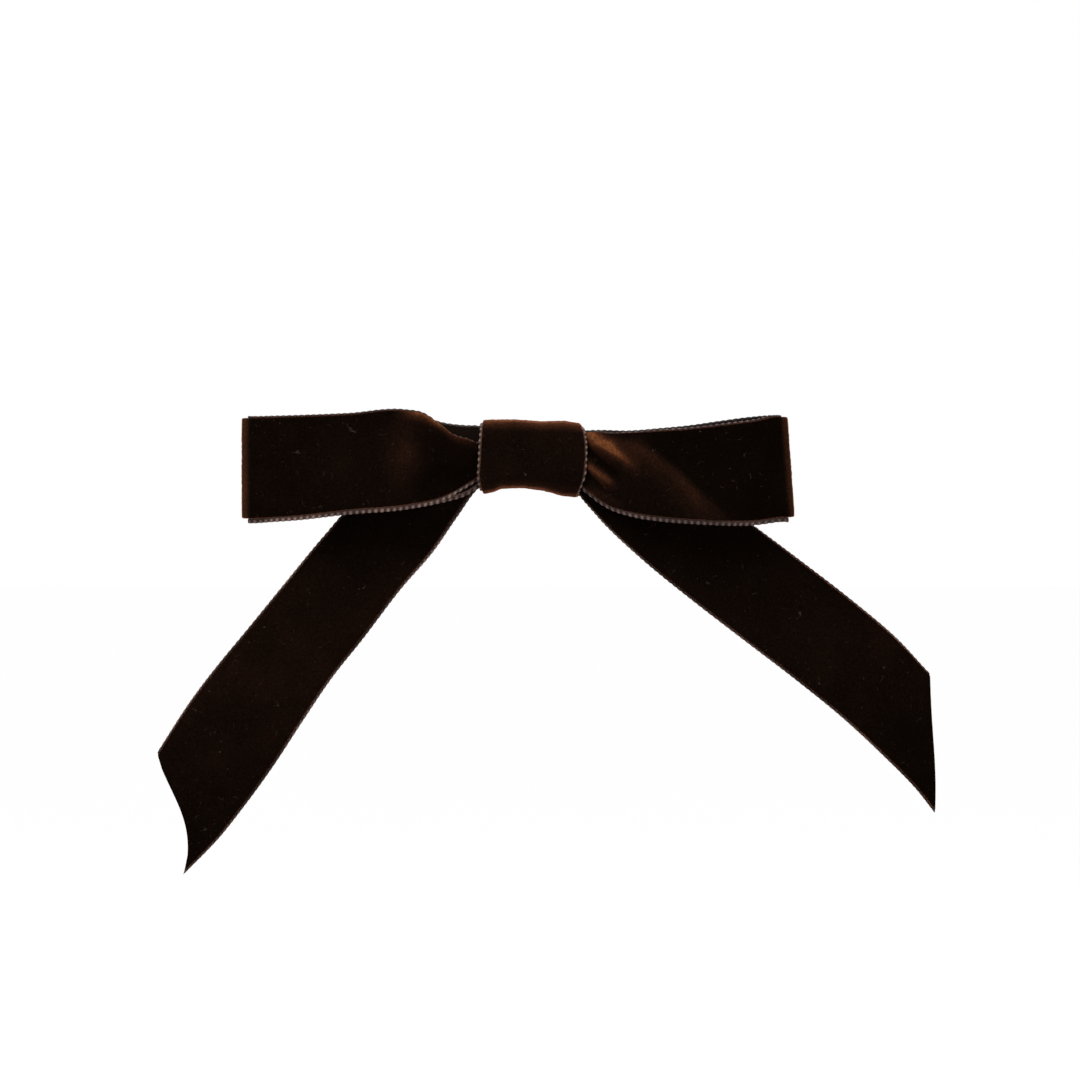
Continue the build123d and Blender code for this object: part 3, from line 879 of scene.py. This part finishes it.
def knot_swell(cloth, share):
    """The face bulges a little over the gathers."""
    front = np.clip((-cloth[..., 1] - 6.5) / 2, 0, 1)
    return 0.5 * np.sin(share * pi) * front


# how far the knot's lower and upper turns stand above a straight line, as x and height
lower_wave = np.array(
    [(-11, -0.3), (-9, -0.2), (-6.5, 0.85), (-2, 1.0), (2.5, 0.4), (6, -0.6), (9, -1.0), (11, -0.8)]
)
upper_wave = np.array([(-11, 0.05), (-3.5, 0.1), (1.7, -0.3), (6.6, -0.2), (11, -0.8)])


def knot_edge(points):
    """The lower turn runs in a shallow wave along the knot; the upper one dips to the right."""
    x, z = points[..., 0], points[..., 2]
    low = np.clip((-z - 2.0) / 4.5, 0, 1)
    high = np.clip((z - 2.0) / 4.5, 0, 1)
    lower = np.interp(x, *lower_wave.T)
    upper = np.interp(x, *upper_wave.T)
    moved = points.copy()
    moved[..., 2] = z + low * lower + high * upper
    return moved


def knot_tone_and_turn_sheen(cloth, share):
    """Painted red-brown sheen where the band turns over its upper and lower edges, stronger on the
    upper one.
    """
    z = cloth[..., 2]
    # painted sheen on the band's upper and lower turns
    turn_sheen = np.clip((z - 5.2) / 1.4, 0, 1) + np.clip((-z - 4.8) / 1.5, 0, 1)
    tone = 0.18 + np.where(z > 0, 0.44, 0.2) * turn_sheen
    return np.where(on_selvedge(share) > 0, 1.0, tone)


knot, knot_length = ribbon(
    "knot_band_velvet", band_places, (0.5, 0.5), knot_tone_and_turn_sheen, knot_swell, seed=5, shape=knot_edge
)
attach(knot, "bow")
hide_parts("knot_band")

# ---- Binding thread --------------------------------------------------------------------
# Three-ply brown polyester sewing thread, wound six times round the pinched ribbons under
# the knot band and pulled tight. Each ply is drawn as a strand of its own.
thread_turns = 6
thread_pitch = 0.95
thread_run = 4.4
thread_middle = (-4.68, 0.4)  # y and z of the winding's middle
thread_bend = 3.18
ply_radius = 0.105
ply_offset = 0.095
ply_twist = 1.6  # length of one turn of the plies
winding = []
for n in range(thread_turns * 24 + 1):
    angle = 2 * pi * n / 24
    straight = thread_run / 2 * np.clip(2.5 * sin(angle), -1, 1)
    winding.append(
        (
            -thread_turns * thread_pitch / 2 + thread_pitch * n / 24,
            thread_middle[0] - thread_bend * cos(angle),
            thread_middle[1] + straight + thread_bend * sin(angle),
        )
    )
winding = np.array(winding)
wound = np.concatenate([[0], np.cumsum(np.linalg.norm(np.diff(winding, axis=0), axis=1))])
fine = np.linspace(0, wound[-1], int(wound[-1] / 0.2))
line = between(winding, wound, fine)
ahead = np.gradient(line, axis=0)
ahead /= np.linalg.norm(ahead, axis=1, keepdims=True)
aside = np.cross(ahead, (1.0, 0.0, 0.0))
aside /= np.linalg.norm(aside, axis=1, keepdims=True)
upward = np.cross(ahead, aside)
plies = bpy.data.curves.new("binding_thread_plies", "CURVE")
plies.dimensions = "3D"
plies.bevel_depth = ply_radius * MM
plies.bevel_resolution = 1
plies.use_fill_caps = True
for ply in range(3):
    turn = 2 * pi * (fine / ply_twist + ply / 3)
    strand = line + ply_offset * (np.cos(turn)[:, None] * aside + np.sin(turn)[:, None] * upward)
    spline = plies.splines.new("POLY")
    spline.points.add(len(strand) - 1)
    spline.points.foreach_set("co", np.hstack([strand * MM, np.ones((len(strand), 1))]).ravel())
thread = bpy.data.objects.new("binding_thread_plies", plies)
bpy.context.scene.collection.objects.link(thread)
bpy.ops.object.select_all(action="DESELECT")
thread.select_set(True)
bpy.context.view_layer.objects.active = thread
bpy.ops.object.convert(target="MESH")
thread = bpy.context.object
bpy.ops.object.shade_smooth()
spun, tree = new_material("spun_polyester_thread")
place = node(tree, "ShaderNodeTexCoord").outputs["Object"]
# single filaments, drawn 0.17 mm apart, coarser than the real ones so that they show
filaments = node(tree, "ShaderNodeTexNoise", None, Vector=place, Scale=6000.0, Detail=2.0)
colour = node(
    tree,
    "ShaderNodeValToRGB",
    {"stops": [(0.3, "#120a07"), (0.7, "#2c1b14")]},
    Fac=filaments.outputs["Fac"],
).outputs[0]
bump = node(
    tree, "ShaderNodeBump", None, Strength=0.5, Distance=0.00004, Height=filaments.outputs["Fac"]
)
shader = node(
    tree,
    "ShaderNodeBsdfPrincipled",
    None,
    Base_Color=colour,
    Roughness=0.6,
    IOR=1.57,
    Specular_IOR_Level=0.3,
    Sheen_Weight=0.3,
    Sheen_Tint=linear("#8a5a40"),
    Normal=bump.outputs[0],
)
node(tree, "ShaderNodeOutputMaterial", None, Surface=shader.outputs[0])
thread.data.materials.clear()
thread.data.materials.append(spun)
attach(thread, "bow")
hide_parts("binding_thread")

# ---- Alligator clip --------------------------------------------------------------------
# Two jaws stamped from 0.6 mm mild steel and nickel plated, turning on a riveted pin. The
# plating is bright, with fine draw lines along the jaws and a little wear at the edges.
nickel, tree = new_material("nickel_plated_steel")
place = node(tree, "ShaderNodeTexCoord").outputs["Object"]
stretched = node(tree, "ShaderNodeMapping", None, Vector=place, Scale=(0.06, 1.0, 1.0))
# draw lines, 0.3 mm apart, coarser than the real ones so that they show
lines = node(
    tree, "ShaderNodeTexNoise", None, Vector=stretched.outputs[0], Scale=3500.0, Detail=2.0
)
# handling marks, 4 mm across
marks = node(tree, "ShaderNodeTexNoise", None, Vector=place, Scale=240.0, Detail=3.0)
gloss = node(
    tree,
    "ShaderNodeValToRGB",
    {"stops": [(0.3, 0.22), (0.7, 0.27)]},
    Fac=marks.outputs["Fac"],
).outputs[0]
plate = node(
    tree,
    "ShaderNodeValToRGB",
    {"stops": [(0.3, "#a49f97"), (0.7, "#aaa59d")]},
    Fac=marks.outputs["Fac"],
).outputs[0]
bump = node(
    tree, "ShaderNodeBump", None, Strength=0.25, Distance=0.00003, Height=lines.outputs["Fac"]
)
shader = node(
    tree,
    "ShaderNodeBsdfPrincipled",
    None,
    Base_Color=plate,
    Metallic=1.0,
    Roughness=gloss,
    Normal=bump.outputs[0],
)
node(tree, "ShaderNodeOutputMaterial", None, Surface=shader.outputs[0])


def dress(name, material):
    """Gives a CAD node this material all over, and leaves its mesh as it is."""
    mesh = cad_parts[name].data
    mesh.materials.clear()
    mesh.materials.append(material)


dress("fixed_jaw", nickel)
dress("moving_jaw", nickel)

# The pin is turned from free-cutting steel wire, its two ends peened into low rivet heads.
turned, tree = new_material("turned_steel_pin")
place = node(tree, "ShaderNodeTexCoord").outputs["Object"]
dimples = node(tree, "ShaderNodeTexNoise", None, Vector=place, Scale=1800.0, Detail=2.0)
tint = node(
    tree,
    "ShaderNodeValToRGB",
    {"stops": [(0.3, "#9d9a96"), (0.7, "#bcb9b4")]},
    Fac=dimples.outputs["Fac"],
).outputs[0]
bump = node(
    tree, "ShaderNodeBump", None, Strength=0.3, Distance=0.00005, Height=dimples.outputs["Fac"]
)
shader = node(
    tree,
    "ShaderNodeBsdfPrincipled",
    None,
    Base_Color=tint,
    Metallic=1.0,
    Roughness=0.32,
    Normal=bump.outputs[0],
)
node(tree, "ShaderNodeOutputMaterial", None, Surface=shader.outputs[0])
dress("hinge_pin", turned)

# The spring is 0.5 mm hard-drawn music wire coiled round the pin. One leg lies on the fixed
# jaw and the other under the moving jaw; in the real clip the coil winds up as the clip opens, and
# here the wire keeps its shape.
drawn, tree = new_material("hard_drawn_spring_wire")
place = node(tree, "ShaderNodeTexCoord").outputs["Object"]
# die marks and a thin film of oil, 0.4 mm across
film = node(tree, "ShaderNodeTexNoise", None, Vector=place, Scale=2500.0, Detail=2.0)
tint = node(
    tree,
    "ShaderNodeValToRGB",
    {"stops": [(0.3, "#77736d"), (0.7, "#9b9790")]},
    Fac=film.outputs["Fac"],
).outputs[0]
shader = node(
    tree, "ShaderNodeBsdfPrincipled", None, Base_Color=tint, Metallic=1.0, Roughness=0.36
)
node(tree, "ShaderNodeOutputMaterial", None, Surface=shader.outputs[0])
wire = bpy.data.objects.new("clip_spring_wire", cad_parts["clip_spring"].data.copy())
bpy.context.scene.collection.objects.link(wire)
bpy.ops.object.select_all(action="DESELECT")
wire.select_set(True)
bpy.context.view_layer.objects.active = wire
bpy.ops.object.mode_set(mode="EDIT")
bpy.ops.mesh.select_all(action="SELECT")
bpy.ops.mesh.remove_doubles(threshold=0.000002)
bpy.ops.object.mode_set(mode="OBJECT")
bpy.ops.object.shade_smooth_by_angle(angle=radians(40))
wire.data.materials.clear()
wire.data.materials.append(drawn)
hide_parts("clip_spring")
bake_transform(wire)

# ---- Glue ------------------------------------------------------------------------------
# Hot-melt glue between the bow and the fixed jaw, and under the band's two ends: a milky,
# slightly yellow, rubbery bead with a smooth skin.
melt, tree = new_material("hot_melt_glue")
place = node(tree, "ShaderNodeTexCoord").outputs["Object"]
# slow lumps in the skin, 2 mm across
lumps = node(tree, "ShaderNodeTexNoise", None, Vector=place, Scale=500.0, Detail=1.0)
milky = node(
    tree,
    "ShaderNodeValToRGB",
    {"stops": [(0.3, "#b8ad90"), (0.7, "#d6ceb6")]},
    Fac=lumps.outputs["Fac"],
).outputs[0]
bump = node(
    tree, "ShaderNodeBump", None, Strength=0.6, Distance=0.0002, Height=lumps.outputs["Fac"]
)
shader = node(
    tree,
    "ShaderNodeBsdfPrincipled",
    None,
    Base_Color=milky,
    Roughness=0.3,
    IOR=1.48,
    Subsurface_Weight=0.4,
    Subsurface_Scale=0.001,
    Normal=bump.outputs[0],
)
node(tree, "ShaderNodeOutputMaterial", None, Surface=shader.outputs[0])
dress("glue_pad", melt)
dress("band_glue", melt)

# ---- Set -------------------------------------------------------------------------------
# A pale floor and a white surround, with one large soft light above and to the left, a fill
# from the right and a softer one behind.
floor_drop = 60.0
bpy.ops.object.select_all(action="DESELECT")
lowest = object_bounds()[0][2]
bpy.ops.mesh.primitive_plane_add(size=60.0, location=(0, 0, lowest - floor_drop * MM))
floor = bpy.context.object
floor.name = "floor"
white, tree = new_material("matt_white_paper")
seen = node(tree, "ShaderNodeLightPath")
glow = node(tree, "ShaderNodeEmission", None, Color=(1, 1, 1, 1), Strength=1.07)
paper = node(tree, "ShaderNodeBsdfDiffuse", None, Color=linear("#e8e8e8"))
both = node(tree, "ShaderNodeMixShader", None, Fac=0.9, _1=paper.outputs[0], _2=glow.outputs[0])
kept = node(
    tree,
    "ShaderNodeMixShader",
    None,
    Fac=seen.outputs["Is Camera Ray"],
    _1=paper.outputs[0],
    _2=both.outputs[0],
)
node(tree, "ShaderNodeOutputMaterial", None, Surface=kept.outputs[0])
floor.data.materials.append(white)

world = bpy.data.worlds.new("studio")
bpy.context.scene.world = world
world.use_nodes = True
tree = world.node_tree
tree.nodes.clear()
seen = node(tree, "ShaderNodeLightPath")
straight = node(
    tree,
    "ShaderNodeMath",
    {"operation": "MAXIMUM"},
    _0=seen.outputs["Is Camera Ray"],
    _1=seen.outputs["Is Transmission Ray"],
)
direct = node(
    tree,
    "ShaderNodeMath",
    {"operation": "MAXIMUM"},
    _0=straight.outputs[0],
    _1=seen.outputs["Is Glossy Ray"],
)
dim = node(tree, "ShaderNodeBackground", None, Color=(1, 1, 1, 1), Strength=0.35)
bright = node(tree, "ShaderNodeBackground", None, Color=(1, 1, 1, 1), Strength=1.0)
mixed = node(
    tree,
    "ShaderNodeMixShader",
    None,
    Fac=direct.outputs[0],
    _1=dim.outputs[0],
    _2=bright.outputs[0],
)
node(tree, "ShaderNodeOutputWorld", None, Surface=mixed.outputs[0])


def soft_light(name, place, size, power):
    """A square soft box at place, facing the bow."""
    lamp = bpy.data.lights.new(name, "AREA")
    lamp.size = size
    lamp.energy = power
    made = bpy.data.objects.new(name, lamp)
    bpy.context.scene.collection.objects.link(made)
    made.location = place
    towards = Vector((0, 0, -0.02)) - Vector(place)
    made.rotation_euler = towards.to_track_quat("-Z", "Y").to_euler()


soft_light("key_light", (-0.5, -0.7, 0.75), 0.6, 14)
soft_light("fill_light", (0.8, -0.7, 0.1), 0.7, 4)
soft_light("back_light", (0.3, 0.9, 0.6), 0.6, 5)

camera = bpy.data.cameras.new("camera")
camera.lens = 241.0
camera.sensor_width = 36.0
camera.clip_end = 20
seat = bpy.data.objects.new("camera", camera)
bpy.context.scene.collection.objects.link(seat)
seat.location = (0.00156, -1.508, -0.01712)
seat.rotation_euler = (radians(90), 0, 0)
bpy.context.scene.camera = seat
bpy.context.scene.view_settings.view_transform = "Standard"

bpy.context.view_layer.update()
